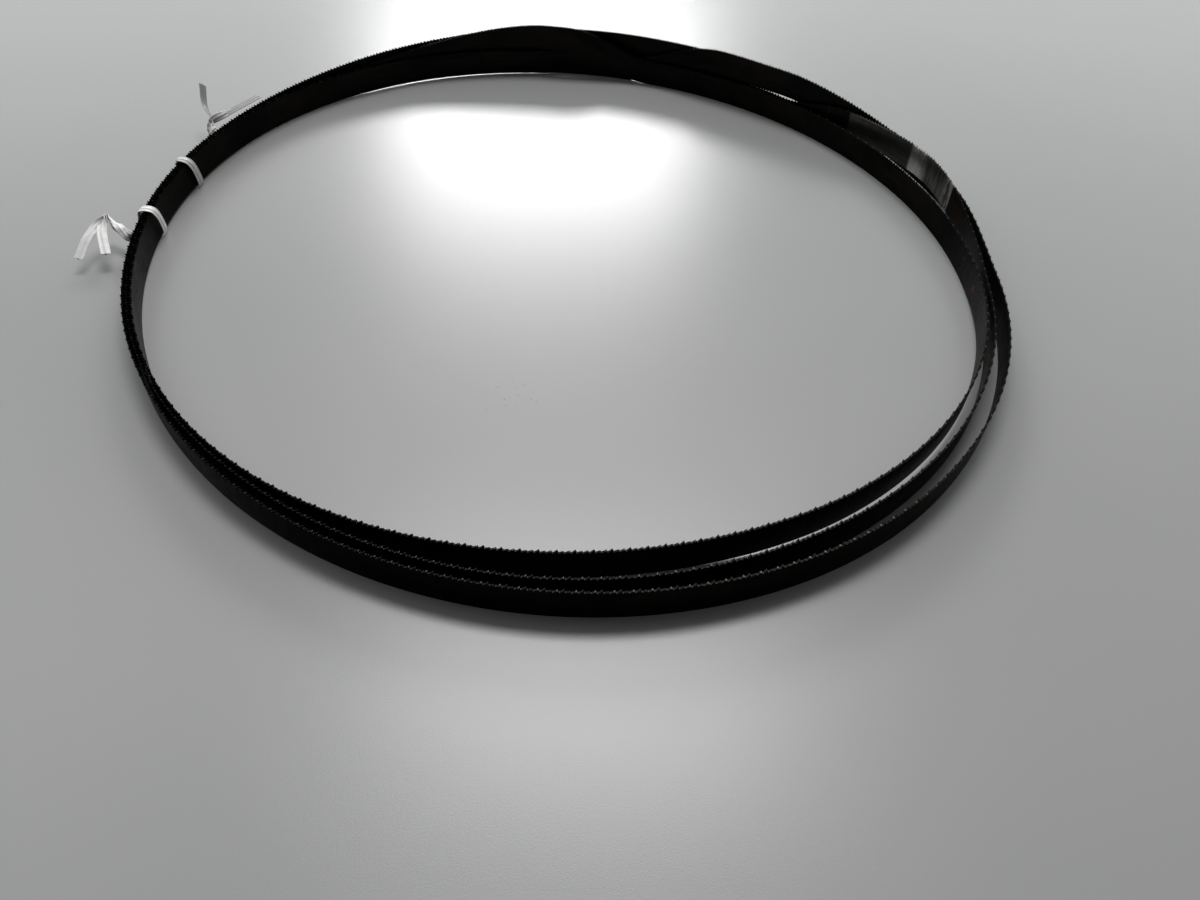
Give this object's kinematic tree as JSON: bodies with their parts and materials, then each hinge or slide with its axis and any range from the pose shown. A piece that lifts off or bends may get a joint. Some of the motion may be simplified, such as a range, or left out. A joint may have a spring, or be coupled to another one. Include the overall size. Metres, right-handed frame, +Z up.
{
  "type": "band saw blade",
  "caption": "Endless band saw blade coiled flat in several turns on its back edge, teeth up, held by two twist ties; a ground weld joins the band.",
  "frame": {"origin": "middle of the object's box, on the floor plane", "axes": "+X to the right and +Y to the back of the picture, +Z up, the way the teeth point"},
  "size_m": [0.3774, 0.3654, 0.0264],
  "materials": {
    "blade": "dark oxide on spring steel, bright ground tooth tips and weld",
    "tie": "white flat plastic strip over a thin steel wire"
  },
  "bodies": {
    "root": {"blade": "blade", "tie_upper": "tie", "tie_lower": "tie"}
  },
  "joints": []
}
